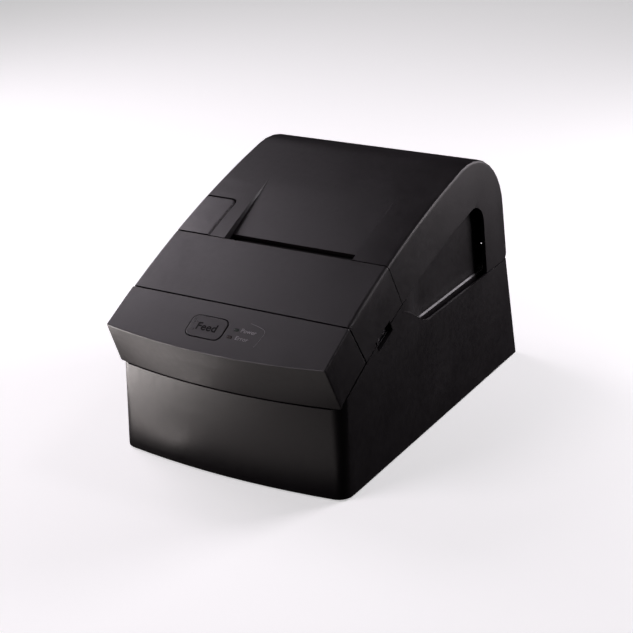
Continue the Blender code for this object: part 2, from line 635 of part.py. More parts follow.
def print_head():
    make("thermal_head", tilted_box(-0.9, 0.3, 9.0, 27.0, -34.5, 45.5), CERAMIC)
    fins = [(-1.3, 9.0), (-1.3, 28.0)]
    for i in range(4):
        s = 28.0 - 5.4 * i
        fins += [(-6.8, s), (-6.8, s - 1.9), (-3.4, s - 1.9), (-3.4, s - 5.4)] if i < 3 else []
    fins += [(-6.8, 11.8), (-6.8, 9.0)]
    make("head_heat_sink", across([tilted(a, s) for a, s in fins], -34.5, 45.5), ALUMINIUM)
    for name, x in (("head_spring_left", -18.0), ("head_spring_right", 30.0)):
        make(name, coil(x, 16.0, -13.5, -7.2), STEEL)
    teeth = 27
    pitch = (SLOT_X[1] - SLOT_X[0] - 1.0) / teeth
    outline = [(SLOT_X[0] + 0.5, 9.0)]
    for i in range(teeth):
        x = SLOT_X[0] + 0.5 + pitch * i
        outline += [(x, 2.6), (x + pitch / 2, 1.4)]
    outline += [(SLOT_X[1] - 0.5, 2.6), (SLOT_X[1] - 0.5, 9.0)]
    bar = skin([[(x, *tilted(a, s)) for x, s in outline] for a in (-1.55, -0.95)])
    make("tear_bar", bar, STEEL)


def coil(x, s, a_low, a_high):
    """A compression spring whose axis lies along the tilted frame's a."""
    turns, steps, sides, radius, wire = 4, 10, 6, 2.8, 0.35
    loops = []
    for i in range(turns * steps + 1):
        turn = math.tau * i / steps
        a = a_low + wire + (a_high - a_low - 2 * wire) * i / (turns * steps)
        ring = []
        for k in range(sides):
            side = math.tau * k / sides
            out = radius + wire * math.cos(side)
            y, z = tilted(a + wire * math.sin(side), s + out * math.sin(turn))
            ring.append((x + out * math.cos(turn), y, z))
        loops.append(ring)
    return skin(loops)


def platen():
    """Rubber platen roller on its shaft, with bushes and the holder that hangs it under the lid."""
    centre = tilted(*PLATEN)
    make("platen_shaft", rod(*centre, 2.5, -46.0, 60.4), STEEL, pivot=(0.0, *centre))
    make("platen_roller", tube(*centre, PLATEN_R, 2.62, -35.0, 45.6, 28), RUBBER, pivot=(0.0, *centre))
    for name, low, high in (("platen_bush_left", -41.2, -36.0), ("platen_bush_right", 46.3, 51.0)):
        make(name, tube(*centre, 4.4, 2.75, low, high), GEAR)
    holder = make("platen_holder", tilted_box(16.4, 18.8, 5.5, 20.0, -38.6, 48.6), INNER)
    for low, high in ((-38.6, -36.7), (46.7, 48.6)):
        join(holder, tilted_box(1.6, 17.0, 8.6, 21.0, low, high))
        cut(holder, rod(*centre, 4.65, low - 2.0, high + 2.0))


def latch():
    """Cross rod with two hooks beside the platen shaft and the lever under the open button's stem."""
    pivot = (0.0, *LATCH_AT)
    make("latch_rod", rod(*LATCH_AT, 1.8, -56.4, 60.4, 16), STEEL, pivot=pivot)
    py, pz = LATCH_AT
    hook = arc(py, pz, 4.0, 190, 370, 8)
    hook += [(py + 2.8, pz + 11.5), (py + 0.8, pz + 15.8), (py - 2.7, pz + 15.6), (py - 3.0, pz + 12.5),
             (py - 4.2, pz + 8.5)]
    for name, low, high in (("latch_hook_left", -45.2, -43.6), ("latch_hook_right", 58.0, 59.6)):
        piece = make(name, across(hook, low, high), STEEL, pivot=pivot)
        cut(piece, rod(*LATCH_AT, 1.92, low - 1.0, high + 1.0, 16))
    rise = math.radians(31.8)
    tip = (py + 12.0 * math.cos(rise), pz + 12.0 * math.sin(rise))
    lever = arc(py, pz, 3.8, 121.8, 301.8, 8) + arc(*tip, 1.3, -58.2, 121.8, 4)
    piece = make("latch_lever", across(lever, -55.4, -51.6), INNER, pivot=pivot)
    cut(piece, rod(*LATCH_AT, 1.92, -57.0, -50.0, 16))


# ---------------------------------------------------------------- inside the case
def paper_bucket():
    """The open well that the paper roll lies in, with side walls and the shelf that closes the case around it."""
    y, z, radius = BUCKET
    low, high = BUCKET_X
    around = arc(y, z, radius, 150, 350, 20)
    trough = around + arc(y, z, radius + 2, 350, 150, 20)
    well = make("paper_bucket", across(trough, low - 2.0, high + 2.0), INNER)
    side = arc(y, z, radius + 1.0, 150, 350, 20) + [(y + radius + 1.0, 84.0), (y - 30.0, 90.0)]
    for x_low, x_high in ((low - 2.0, low), (high, high + 2.0)):
        join(well, across(side, x_low, x_high))
    for x_low, x_high in ((-61.5, low - 1.0), (high + 1.0, 61.5)):
        join(well, box(x_low, x_high, 95.0, 183.0, 58.4, 60.4))


def electronics():
    board = box(-56.0, 56.0, 96.0, 186.0, 9.0, BOARD_TOP)
    make("main_board", board, BOARD)
    make("paper_end_sensor", box(49.4, 54.0, 120.0, 128.0, 38.0, 48.0), INNER)
    plate = make("interface_plate", box(-55.0, 55.0, 190.2, 191.3, 4.2, 30.4), STEEL)
    floor = BOARD_TOP + TOUCH
    ports = (("power_inlet", -38.0, 15.0, 12.6, 9.0, 7.0), ("drawer_port", -16.0, 13.4, 12.8, 10.0, 7.0),
             ("usb_port", 4.0, 12.0, 11.0, 8.6, 7.8), ("serial_port", 32.0, 31.0, 12.4, 17.0, 8.0))
    for name, x, wide, high, mouth, tall in ports:
        port = make(name, box(x - wide / 2, x + wide / 2, 176.0, 193.4, floor, floor + high), INNER)
        middle = floor + high / 2
        cut(port, box(x - mouth / 2, x + mouth / 2, 184.0, 200.0, middle - tall / 2, middle + tall / 2))
        reach = wide / 2 + TOUCH
        cut(plate, box(x - reach, x + reach, 188.0, 194.0, floor - TOUCH, floor + high + TOUCH))


def hinge_pins():
    for name, middle in zip(("hinge_pin_left", "hinge_pin_right"), KNUCKLES):
        make(name, rod(*HINGE, 1.5, middle - 11.5, middle + 11.5, 16), STEEL)


def main():
    for obj in list(bpy.data.objects):
        bpy.data.objects.remove(obj, do_unlink=True)
    lower_case()
    bottom_plate()
    feet_and_screws()
    front_panel()
    mid_cover()
    lid()
    hinge_pins()
    open_button()
    feed_button()
    power_switch()
    pinion = gear_train()
    print_frame(pinion)
    print_head()
    platen()
    latch()
    paper_bucket()
    electronics()


main()
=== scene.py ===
"""Thermal receipt printer on a pale table: dark moulded covers around a steel and rubber print mechanism."""
import json
import math

import bmesh
import bpy
from mathutils import Matrix, Vector


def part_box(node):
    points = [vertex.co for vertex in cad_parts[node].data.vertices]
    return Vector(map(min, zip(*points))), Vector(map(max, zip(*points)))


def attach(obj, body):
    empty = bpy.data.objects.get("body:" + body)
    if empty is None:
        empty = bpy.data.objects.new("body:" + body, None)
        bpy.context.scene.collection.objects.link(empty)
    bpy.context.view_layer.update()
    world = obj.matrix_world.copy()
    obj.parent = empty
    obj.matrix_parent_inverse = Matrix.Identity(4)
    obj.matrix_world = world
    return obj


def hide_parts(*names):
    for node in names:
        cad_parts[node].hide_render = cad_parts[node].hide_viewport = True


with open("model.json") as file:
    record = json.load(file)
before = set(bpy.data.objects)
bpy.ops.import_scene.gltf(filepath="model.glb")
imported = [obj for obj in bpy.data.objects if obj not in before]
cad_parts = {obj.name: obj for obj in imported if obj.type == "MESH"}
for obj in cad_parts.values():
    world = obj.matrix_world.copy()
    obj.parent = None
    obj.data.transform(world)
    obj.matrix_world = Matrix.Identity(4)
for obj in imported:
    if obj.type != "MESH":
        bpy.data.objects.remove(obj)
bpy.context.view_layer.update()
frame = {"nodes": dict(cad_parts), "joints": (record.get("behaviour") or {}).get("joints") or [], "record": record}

nodes = frame["nodes"]
bpy.ops.object.select_all(action="DESELECT")


# ---------------------------------------------------------------- table, light and camera
# A plain pale table top under the printer. It is bright to look at, and kept dim in the printer's own
# reflections, as black cards round a dark object do.
TABLE_SIZE = 6.0
bpy.ops.mesh.primitive_plane_add(size=TABLE_SIZE, location=(0, 0, 0))
table_top = bpy.context.object
table_top.name = "table_top"
paint = bpy.data.materials.new("pale_table")
paint.use_nodes = True
tree = paint.node_tree
tree.nodes.clear()
seen_straight = tree.nodes.new("ShaderNodeLightPath")
pale, dim = tree.nodes.new("ShaderNodeBsdfDiffuse"), tree.nodes.new("ShaderNodeBsdfDiffuse")
pale.inputs["Color"].default_value = (0.93, 0.93, 0.93, 1)
dim.inputs["Color"].default_value = (0.03, 0.029, 0.03, 1)
own_glow, bright_top = tree.nodes.new("ShaderNodeEmission"), tree.nodes.new("ShaderNodeAddShader")
own_glow.inputs["Color"].default_value = (0.93, 0.93, 0.93, 1)
own_glow.inputs["Strength"].default_value = 0.5
tree.links.new(pale.outputs["BSDF"], bright_top.inputs[0])
tree.links.new(own_glow.outputs["Emission"], bright_top.inputs[1])
choice, surface = tree.nodes.new("ShaderNodeMixShader"), tree.nodes.new("ShaderNodeOutputMaterial")
tree.links.new(seen_straight.outputs["Is Camera Ray"], choice.inputs["Fac"])
tree.links.new(dim.outputs["BSDF"], choice.inputs[1])
tree.links.new(bright_top.outputs["Shader"], choice.inputs[2])
tree.links.new(choice.outputs["Shader"], surface.inputs["Surface"])
table_top.data.materials.append(paint)

# The room: pale where the table ends, almost unlit otherwise.
room = bpy.data.worlds.new("room")
bpy.context.scene.world = room
room.use_nodes = True
tree = room.node_tree
tree.nodes.clear()
seen_straight = tree.nodes.new("ShaderNodeLightPath")
wall, shade = tree.nodes.new("ShaderNodeBackground"), tree.nodes.new("ShaderNodeBackground")
wall.inputs["Color"].default_value = (0.93, 0.93, 0.93, 1)
shade.inputs["Color"].default_value = (0.009, 0.009, 0.0095, 1)
choice, surface = tree.nodes.new("ShaderNodeMixShader"), tree.nodes.new("ShaderNodeOutputWorld")
tree.links.new(seen_straight.outputs["Is Camera Ray"], choice.inputs["Fac"])
tree.links.new(shade.outputs["Background"], choice.inputs[1])
tree.links.new(wall.outputs["Background"], choice.inputs[2])
tree.links.new(choice.outputs["Shader"], surface.inputs["Surface"])


def soft_light(name, place, size, power, colour=(1, 1, 1), aim=(0, 0, 0.06)):
    """A softbox at a place, turned to face the printer."""
    lamp = bpy.data.lights.new(name, "AREA")
    lamp.shape = "RECTANGLE"
    lamp.size, lamp.size_y = size
    lamp.energy = power
    lamp.color = colour
    holder = bpy.data.objects.new(name, lamp)
    holder.location = place
    holder.rotation_euler = (Vector(place) - Vector(aim)).to_track_quat("Z", "Y").to_euler()
    holder.visible_camera = False
    bpy.context.scene.collection.objects.link(holder)
    return holder


soft_light("front_high", (-0.55, -0.70, 0.82), (0.6, 0.4), 4.0, (1.0, 0.91, 0.99))
soft_light("card_left", (-0.22, -0.20, 0.004), (0.25, 0.26), 1.9, (1.0, 0.93, 0.91), aim=(-0.20, -0.19, 0.5))
soft_light("card_near", (-0.085, -0.124, 0.004), (0.08, 0.028), 0.024, (1.0, 0.92, 0.90),
           aim=(-0.085, -0.124, 0.5))
soft_light("card_front", (0.0, -0.18, 0.004), (0.16, 0.12), 0.03, (1.0, 0.92, 0.90), aim=(0.0, -0.18, 0.5))
soft_light("rear_right", (0.38, 0.46, 0.30), (0.28, 0.28), 1.9, (0.99, 0.93, 1.0))
soft_light("key_top_left", (-0.70, 0.15, 0.60), (0.45, 0.45), 2.4, (1.0, 0.91, 1.0))
soft_light("left_mid", (-0.95, -0.05, 0.35), (0.5, 0.5), 1.0)
soft_light("rim_top", (0.28, 0.27, 0.80), (0.16, 0.16), 0.4, (1.0, 0.93, 1.0))
soft_light("rim_rear", (-0.60, 0.52, 0.55), (0.3, 0.2), 0.14, (1.0, 0.92, 1.0))
soft_light("rear_right_low", (0.45, 0.60, 0.08), (0.35, 0.16), 0.6, (1.0, 0.92, 0.95))

# The camera stands at the printer's front right, looking down on it, a little rolled.
CAMERA_TARGET = Vector((0.0, -0.00155, 0.05378))
CAMERA_AZIMUTH, CAMERA_RISE, CAMERA_ROLL = (math.radians(a) for a in (34.26, 24.02, -4.35))
CAMERA_DISTANCE, CAMERA_LENS = 0.92754, 93.66
back = Vector((math.sin(CAMERA_AZIMUTH) * math.cos(CAMERA_RISE),
               -math.cos(CAMERA_AZIMUTH) * math.cos(CAMERA_RISE), math.sin(CAMERA_RISE)))
camera = bpy.data.objects.new("camera", bpy.data.cameras.new("camera"))
camera.data.lens = CAMERA_LENS
turned = (-back).to_track_quat("-Z", "Y").to_matrix() @ Matrix.Rotation(CAMERA_ROLL, 3, "Z")
camera.matrix_world = Matrix.Translation(CAMERA_TARGET + back * CAMERA_DISTANCE) @ turned.to_4x4()
bpy.context.scene.collection.objects.link(camera)
bpy.context.scene.camera = camera
bpy.context.scene.view_settings.view_transform = "Standard"


# ---------------------------------------------------------------- lower case
# The case is one injection moulding in near-black ABS with a fine spark-eroded grain. Its walls lean
# inwards a little, its front is bowed, and its ears run up inside the lid. Four screws hold it to the base.
def pick(piece):
    """Make a piece the only selected object, and the active one."""
    bpy.ops.object.select_all(action="DESELECT")
    piece.select_set(True)
    bpy.context.view_layer.objects.active = piece


def group_of(name, takes, gives):
    """A new node group with named float inputs and outputs, and its two end nodes."""
    tree = bpy.data.node_groups.new(name, "ShaderNodeTree")
    for label, value in takes:
        socket = tree.interface.new_socket(label, in_out="INPUT", socket_type="NodeSocketFloat")
        socket.default_value = value
    for label, kind in gives:
        tree.interface.new_socket(label, in_out="OUTPUT", socket_type=kind)
    return tree, tree.nodes.new("NodeGroupInput"), tree.nodes.new("NodeGroupOutput")


def math_node(tree, operation, first, second=None):
    """A Math node whose inputs are sockets or numbers; its result socket."""
    node = tree.nodes.new("ShaderNodeMath")
    node.operation = operation
    for socket, value in zip(node.inputs, (first, second)):
        if value is None:
            continue
        if isinstance(value, (int, float)):
            socket.default_value = value
        else:
            tree.links.new(value, socket)
    return node.outputs["Value"]


# Moulded grain: a fine pebbled texture, with slow cloudy changes of gloss and tone across the part.
grain_group, start, end = group_of(
    "moulded_grain", (("Grain per metre", 2600.0), ("Cloud per metre", 28.0)),
    (("Height", "NodeSocketFloat"), ("Cloud", "NodeSocketFloat"), ("Speck", "NodeSocketFloat")))
place = grain_group.nodes.new("ShaderNodeTexCoord")
pebble = grain_group.nodes.new("ShaderNodeTexVoronoi")
pebble.feature = "SMOOTH_F1"
coarse = grain_group.nodes.new("ShaderNodeTexNoise")
coarse.inputs["Detail"].default_value = 2.0
cloud = grain_group.nodes.new("ShaderNodeTexNoise")
cloud.inputs["Detail"].default_value = 4.0
speck = grain_group.nodes.new("ShaderNodeTexNoise")
speck.inputs["Detail"].default_value = 1.0
for texture, rate in ((pebble, 1.0), (coarse, 0.35), (speck, 0.12)):
    grain_group.links.new(place.outputs["Object"], texture.inputs["Vector"])
    scaled = math_node(grain_group, "MULTIPLY", start.outputs["Grain per metre"], rate)
    grain_group.links.new(scaled, texture.inputs["Scale"])
grain_group.links.new(place.outputs["Object"], cloud.inputs["Vector"])
grain_group.links.new(start.outputs["Cloud per metre"], cloud.inputs["Scale"])
rough_part = math_node(grain_group, "MULTIPLY", coarse.outputs["Fac"], 0.5)
height = math_node(grain_group, "ADD", pebble.outputs["Distance"], rough_part)
grain_group.links.new(height, end.inputs["Height"])
grain_group.links.new(cloud.outputs["Fac"], end.inputs["Cloud"])
grain_group.links.new(speck.outputs["Fac"], end.inputs["Speck"])

# Edge wear: where the surface turns a corner, hands and cloths polish the grain away.
wear_group, start, end = group_of(
    "edge_wear", (("Reach", 0.0009), ("Amount", 1.0)), (("Mask", "NodeSocketFloat"),))
rounded = wear_group.nodes.new("ShaderNodeBevel")
rounded.samples = 4
wear_group.links.new(start.outputs["Reach"], rounded.inputs["Radius"])
shape = wear_group.nodes.new("ShaderNodeNewGeometry")
facing = wear_group.nodes.new("ShaderNodeVectorMath")
facing.operation = "DOT_PRODUCT"
wear_group.links.new(rounded.outputs["Normal"], facing.inputs[0])
wear_group.links.new(shape.outputs["Normal"], facing.inputs[1])
corner = math_node(wear_group, "SUBTRACT", 1.0, facing.outputs["Value"])
corner = math_node(wear_group, "MULTIPLY", corner, 4.0)
patches = wear_group.nodes.new("ShaderNodeTexNoise")
patches.inputs["Scale"].default_value = 160.0
spot = wear_group.nodes.new("ShaderNodeTexCoord")
wear_group.links.new(spot.outputs["Object"], patches.inputs["Vector"])
broken = math_node(wear_group, "MULTIPLY", corner, patches.outputs["Fac"])
worn = math_node(wear_group, "MULTIPLY", broken, start.outputs["Amount"])
worn_node = worn.node
worn_node.use_clamp = True
wear_group.links.new(worn, end.inputs["Mask"])


def use_group(tree, group, **values):
    node = tree.nodes.new("ShaderNodeGroup")
    node.node_tree = group
    for label, value in values.items():
        node.inputs[label.replace("_", " ")].default_value = value
    return node


def blend_colours(tree, factor, first, second):
    """A colour between two, by a factor socket."""
    node = tree.nodes.new("ShaderNodeMix")
    node.data_type = "RGBA"
    tree.links.new(factor, node.inputs["Factor"])
    for socket, colour in ((node.inputs[6], first), (node.inputs[7], second)):
        if isinstance(colour, tuple):
            socket.default_value = (*colour, 1.0)
        else:
            tree.links.new(colour, socket)
    return node.outputs[2]


def spread(tree, value, low, high):
    """A 0 to 1 value stretched to lie between low and high."""
    node = tree.nodes.new("ShaderNodeMapRange")
    tree.links.new(value, node.inputs["Value"])
    node.inputs["From Min"].default_value = 0.3
    node.inputs["From Max"].default_value = 0.7
    node.inputs["To Min"].default_value = low
    node.inputs["To Max"].default_value = high
    return node.outputs["Result"]


def moulding(name, colour, worn_colour, gloss, grain_depth, grain=2600.0, specular=0.5, wear=1.0):
    """Grained moulded plastic: gloss is (smoothest, roughest), grain_depth in metres."""
    made = bpy.data.materials.new(name)
    made.use_nodes = True
    tree = made.node_tree
    shader = tree.nodes["Principled BSDF"]
    shader.inputs["Specular IOR Level"].default_value = specular
    texture = use_group(tree, grain_group, Grain_per_metre=grain)
    edges = use_group(tree, wear_group, Amount=wear)
    darker = tuple(0.82 * c for c in colour)
    base = blend_colours(tree, spread(tree, texture.outputs["Cloud"], 0, 1), darker, colour)
    base = blend_colours(tree, edges.outputs["Mask"], base, worn_colour)
    tree.links.new(base, shader.inputs["Base Color"])
    rough = spread(tree, texture.outputs["Cloud"], *gloss)
    fine = spread(tree, texture.outputs["Speck"], -0.03, 0.03)
    rough = math_node(tree, "ADD", rough, fine)
    polish = math_node(tree, "MULTIPLY", edges.outputs["Mask"], 0.1)
    rough = math_node(tree, "SUBTRACT", rough, polish)
    tree.links.new(rough, shader.inputs["Roughness"])
    bump = tree.nodes.new("ShaderNodeBump")
    bump.inputs["Distance"].default_value = grain_depth
    bump.inputs["Strength"].default_value = 0.6
    tree.links.new(texture.outputs["Height"], bump.inputs["Height"])
    tree.links.new(bump.outputs["Normal"], shader.inputs["Normal"])
    return made


shell_plastic = moulding("shell_plastic", (0.0105, 0.0085, 0.0098), (0.018, 0.0155, 0.017), (0.37, 0.44),
                         0.00003, wear=0.6)
members_of_body = frame["record"]["behaviour"]["bodies"]
body_of_node = {name: body for body, members in members_of_body.items() for name in members}


def dress(name, title, finish, edge=0.0, segments=2, flat=1.0, sharp=28.0):
    """A welded copy of a CAD node, with its flats made whole and its edges rounded, that stands for it."""
    piece = bpy.data.objects.new(title, nodes[name].data.copy())
    bpy.context.scene.collection.objects.link(piece)
    pick(piece)
    bpy.ops.object.mode_set(mode="EDIT")
    bpy.ops.mesh.select_all(action="SELECT")
    bpy.ops.mesh.customdata_custom_splitnormals_clear()
    bpy.ops.mesh.remove_doubles(threshold=0.000002)
    bpy.ops.mesh.dissolve_limited(angle_limit=math.radians(flat))
    bpy.ops.mesh.select_all(action="DESELECT")
    bpy.ops.object.mode_set(mode="OBJECT")
    if edge:
        rounding = piece.modifiers.new("edge", "BEVEL")
        rounding.width = edge
        rounding.segments = segments
        rounding.limit_method = "ANGLE"
        rounding.angle_limit = math.radians(sharp)
        bpy.ops.object.modifier_apply(modifier="edge")
    finish_faces(piece, sharp)
    belong(piece, finish, body_of_node[name])
    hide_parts(name)
    return piece


def finish_faces(piece, sharp=28.0):
    """Smooth shading that breaks at real edges and follows the larger faces."""
    pick(piece)
    bpy.ops.object.shade_smooth_by_angle(angle=math.radians(sharp))
    steady = piece.modifiers.new("steady", "WEIGHTED_NORMAL")
    steady.keep_sharp = True
    bpy.ops.object.modifier_apply(modifier="steady")


def belong(piece, finish, body):
    """Give a piece its material and the body that it rides on."""
    piece.data.materials.clear()
    piece.data.materials.append(finish)
    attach(piece, body)
    bpy.ops.object.select_all(action="DESELECT")


dress("lower_case", "case_shell", shell_plastic, edge=0.0004)

# Base plate: a flat moulding that closes the case from below, with four posts for the main board.
base_plastic = moulding("base_plastic", (0.012, 0.0105, 0.0115), (0.024, 0.022, 0.023), (0.5, 0.62), 0.00004)
dress("bottom_plate", "base_plate", base_plastic, edge=0.0003)

# ---------------------------------------------------------------- feet and case screws
# Four round rubber feet are glued under the corners. Four zinc-plated self-tapping screws come up through
# the base plate into bosses in the case; each has a pan head with a cross recess.
foot_rubber = moulding("foot_rubber", (0.018, 0.0175, 0.018), (0.04, 0.038, 0.038), (0.72, 0.86), 0.00006,
                       grain=900.0, specular=0.3)
for number in (1, 2, 3, 4):
    dress(f"rubber_foot_{number}", f"foot_{number}", foot_rubber, edge=0.0002)

# Metal surfaces share one effect: fine lines from rolling or turning, drawn out along one direction.
lines_group, start, end = group_of(
    "drawn_lines", (("Along X", 60.0), ("Along Y", 2400.0), ("Along Z", 2400.0)),
    (("Lines", "NodeSocketFloat"), ("Stain", "NodeSocketFloat")))
place = lines_group.nodes.new("ShaderNodeTexCoord")
rates = lines_group.nodes.new("ShaderNodeCombineXYZ")
for axis in "XYZ":
    lines_group.links.new(start.outputs[f"Along {axis}"], rates.inputs[axis])
drawn = lines_group.nodes.new("ShaderNodeVectorMath")
drawn.operation = "MULTIPLY"
lines_group.links.new(place.outputs["Object"], drawn.inputs[0])
lines_group.links.new(rates.outputs["Vector"], drawn.inputs[1])
streak = lines_group.nodes.new("ShaderNodeTexNoise")
streak.inputs["Scale"].default_value = 1.0
streak.inputs["Detail"].default_value = 3.0
lines_group.links.new(drawn.outputs["Vector"], streak.inputs["Vector"])
stain = lines_group.nodes.new("ShaderNodeTexNoise")
stain.inputs["Scale"].default_value = 90.0
stain.inputs["Detail"].default_value = 5.0
lines_group.links.new(place.outputs["Object"], stain.inputs["Vector"])
lines_group.links.new(streak.outputs["Fac"], end.inputs["Lines"])
lines_group.links.new(stain.outputs["Fac"], end.inputs["Stain"])


def metal(name, colour, gloss, along=(60.0, 2400.0, 2400.0), depth=0.00001, dull=0.75):
    """Bare or plated metal: gloss is (smoothest, roughest), along the line rates per metre."""
    made = bpy.data.materials.new(name)
    made.use_nodes = True
    tree = made.node_tree
    shader = tree.nodes["Principled BSDF"]
    shader.inputs["Metallic"].default_value = 1.0
    lines = use_group(tree, lines_group, Along_X=along[0], Along_Y=along[1], Along_Z=along[2])
    edges = use_group(tree, wear_group, Amount=0.8)
    dulled = tuple(dull * c for c in colour)
    bright = tuple(min(1.0, 1.25 * c) for c in colour)
    base = blend_colours(tree, spread(tree, lines.outputs["Stain"], 0, 1), dulled, colour)
    base = blend_colours(tree, edges.outputs["Mask"], base, bright)
    tree.links.new(base, shader.inputs["Base Color"])
    rough = spread(tree, lines.outputs["Lines"], *gloss)
    worn = math_node(tree, "MULTIPLY", edges.outputs["Mask"], 0.08)
    tree.links.new(math_node(tree, "SUBTRACT", rough, worn), shader.inputs["Roughness"])
    bump = tree.nodes.new("ShaderNodeBump")
    bump.inputs["Distance"].default_value = depth
    bump.inputs["Strength"].default_value = 0.5
    tree.links.new(lines.outputs["Lines"], bump.inputs["Height"])
    tree.links.new(bump.outputs["Normal"], shader.inputs["Normal"])
    return made


zinc = metal("zinc_plate", (0.62, 0.60, 0.55), (0.24, 0.4), along=(900.0, 900.0, 60.0))


def cross_blade(middle, length, width, top, bottom):
    """A closed cross-shaped cutter, standing upright, to sink a driver recess with."""
    blades = []
    for size in ((length, width), (width, length)):
        bpy.ops.mesh.primitive_cube_add(size=1, location=(middle[0], middle[1], (top + bottom) / 2))
        blade = bpy.context.object
        blade.scale = (size[0], size[1], top - bottom)
        bpy.ops.object.transform_apply(location=True, rotation=True, scale=True)
        blades.append(blade)
    return blades


def sink(piece, cutters):
    """Cut closed shapes out of a piece, one after another, and clear them away."""
    for cutter in cutters:
        pick(piece)
        hollow = piece.modifiers.new("hollow", "BOOLEAN")
        hollow.operation = "DIFFERENCE"
        hollow.solver = "EXACT"
        hollow.object = cutter
        bpy.ops.object.modifier_apply(modifier="hollow")
        bpy.data.objects.remove(cutter, do_unlink=True)


RECESS_LENGTH, RECESS_WIDTH, RECESS_DEPTH = 0.0028, 0.0007, 0.0006
for number in (1, 2, 3, 4):
    screw = dress(f"case_screw_{number}", f"screw_{number}", zinc, edge=0.00015)
    low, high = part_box(f"case_screw_{number}")
    middle = ((low.x + high.x) / 2, (low.y + high.y) / 2)
    sink(screw, cross_blade(middle, RECESS_LENGTH, RECESS_WIDTH, low.z + RECESS_DEPTH, low.z - 0.001))
    finish_faces(screw)

# ---------------------------------------------------------------- front panel, mid cover and lid
# Three covers from the same mould shop as the case, with the same grain. The front panel and the mid cover
# snap onto the case; the lid swings on two steel pins in the case's knuckles.
dress("front_panel", "front_cover", shell_plastic, edge=0.0003)
dress("mid_cover", "middle_cover", shell_plastic, edge=0.00025)
dress("lid", "rear_lid", shell_plastic, edge=0.0003)
pin_steel = metal("pin_steel", (0.56, 0.57, 0.58), (0.18, 0.3), along=(90.0, 1500.0, 1500.0))
for side in ("left", "right"):
    dress(f"hinge_pin_{side}", f"lid_pin_{side}", pin_steel, edge=0.0002)

# ---------------------------------------------------------------- open key
# The lid's corner key: a separate, slightly smoother moulding with a softly rounded edge, on a stem that
# pushes the latch lever down. Its rounded rear and right rim is given a far paler plastic, a painted highlight.
key_plastic = moulding("key_plastic", (0.0125, 0.0102, 0.0118), (0.05, 0.046, 0.05), (0.3, 0.38), 0.00002)
open_key = dress("open_button", "open_key", key_plastic, flat=0.3)
RIM_ROUNDING = 0.0013
FACES_UP, TURNS_DOWN, FACES_IN = 0.6, 0.5, 0.3      # limits on the parts of a face's normal
SMALLEST_TOP = 0.00001                              # square metres
pick(open_key)
shape = bmesh.new()
shape.from_mesh(open_key.data)
shape.normal_update()
rim = []
for edge in shape.edges:
    if len(edge.link_faces) != 2:
        continue
    above, beside = sorted(edge.link_faces, key=lambda f: -f.normal.z)
    faces_up = above.normal.z > FACES_UP and above.calc_area() > SMALLEST_TOP
    turns_down = beside.normal.z < TURNS_DOWN and max(beside.normal.x, beside.normal.y) > FACES_IN
    if faces_up and turns_down and edge.calc_face_angle_signed() > 0:
        rim.append(edge)
rounded_rim = bmesh.ops.bevel(shape, geom=rim, offset=RIM_ROUNDING, segments=4, profile=0.5, affect="EDGES",
                              clamp_overlap=False)
# The rounded rim faces take the second material, the pale painted highlight.
for strip in rounded_rim["faces"]:
    strip.material_index = 1
shape.to_mesh(open_key.data)
shape.free()
finish_faces(open_key)
# Rim plastic about six times paler than the key: a painted highlight along the rounded edge, not wear.
painted_highlight_rim = moulding("painted_highlight_rim", (0.075, 0.070, 0.075), (0.11, 0.105, 0.11), (0.2, 0.28), 0.00001)
open_key.data.materials.append(painted_highlight_rim)

# ---------------------------------------------------------------- feed key, lamps and panel print
# The feed key is a smooth cap over a tact switch. Beside it two light pipes show the power and error
# lamps. The words and the thin bracket are pad-printed in pale grey ink; the key's word is printed dark.
dress("feed_button", "feed_key", key_plastic, edge=0.0004, segments=3)


def lens(name, colour, glow, strength):
    """Slightly cloudy clear plastic, lit a little from behind."""
    made = bpy.data.materials.new(name)
    made.use_nodes = True
    tree = made.node_tree
    shader = tree.nodes["Principled BSDF"]
    shader.inputs["Transmission Weight"].default_value = 0.35
    shader.inputs["IOR"].default_value = 1.49
    shader.inputs["Emission Color"].default_value = (*glow, 1)
    shader.inputs["Emission Strength"].default_value = strength
    texture = use_group(tree, grain_group, Grain_per_metre=1800.0)
    base = blend_colours(tree, texture.outputs["Cloud"], colour, tuple(1.4 * c for c in colour))
    tree.links.new(base, shader.inputs["Base Color"])
    tree.links.new(spread(tree, texture.outputs["Speck"], 0.16, 0.26), shader.inputs["Roughness"])
    bump = tree.nodes.new("ShaderNodeBump")
    bump.inputs["Distance"].default_value = 0.00001
    tree.links.new(texture.outputs["Height"], bump.inputs["Height"])
    tree.links.new(bump.outputs["Normal"], shader.inputs["Normal"])
    return made


green_lens = lens("green_lens", (0.050, 0.056, 0.052), (0.2, 0.4, 0.25), 0.01)
red_lens = lens("red_lens", (0.060, 0.052, 0.052), (0.4, 0.2, 0.15), 0.008)
dress("power_light_pipe", "power_window", green_lens, edge=0.00015)
dress("error_light_pipe", "error_window", red_lens, edge=0.00015)
dress("power_lamp", "power_led", green_lens, edge=0.00015)
dress("error_lamp", "error_led", red_lens, edge=0.00015)

press_axis = Vector(next(j for j in frame["joints"] if j["name"] == "feed_press")["axis"])
panel_out = -press_axis
panel_rearward = Vector((0, panel_out.z, -panel_out.y))


def middle_along(node, direction):
    """How far along a direction the middle of a node lies."""
    reach = [v.co.dot(direction) for v in nodes[node].data.vertices]
    return (min(reach) + max(reach)) / 2


CAP_PROUD = 0.00015      # how far the feed key's cap stands above the panel
cap_height = max(v.co.dot(panel_out) for v in nodes["feed_button"].data.vertices)
panel_origin = (panel_out * (cap_height - CAP_PROUD)
                + panel_rearward * middle_along("feed_button", panel_rearward)
                + Vector((middle_along("feed_button", Vector((1, 0, 0))), 0, 0)))
panel_frame = Matrix.Translation(panel_origin) @ Matrix(
    ((1, panel_rearward.x, panel_out.x), (0, panel_rearward.y, panel_out.y),
     (0, panel_rearward.z, panel_out.z))).to_4x4()


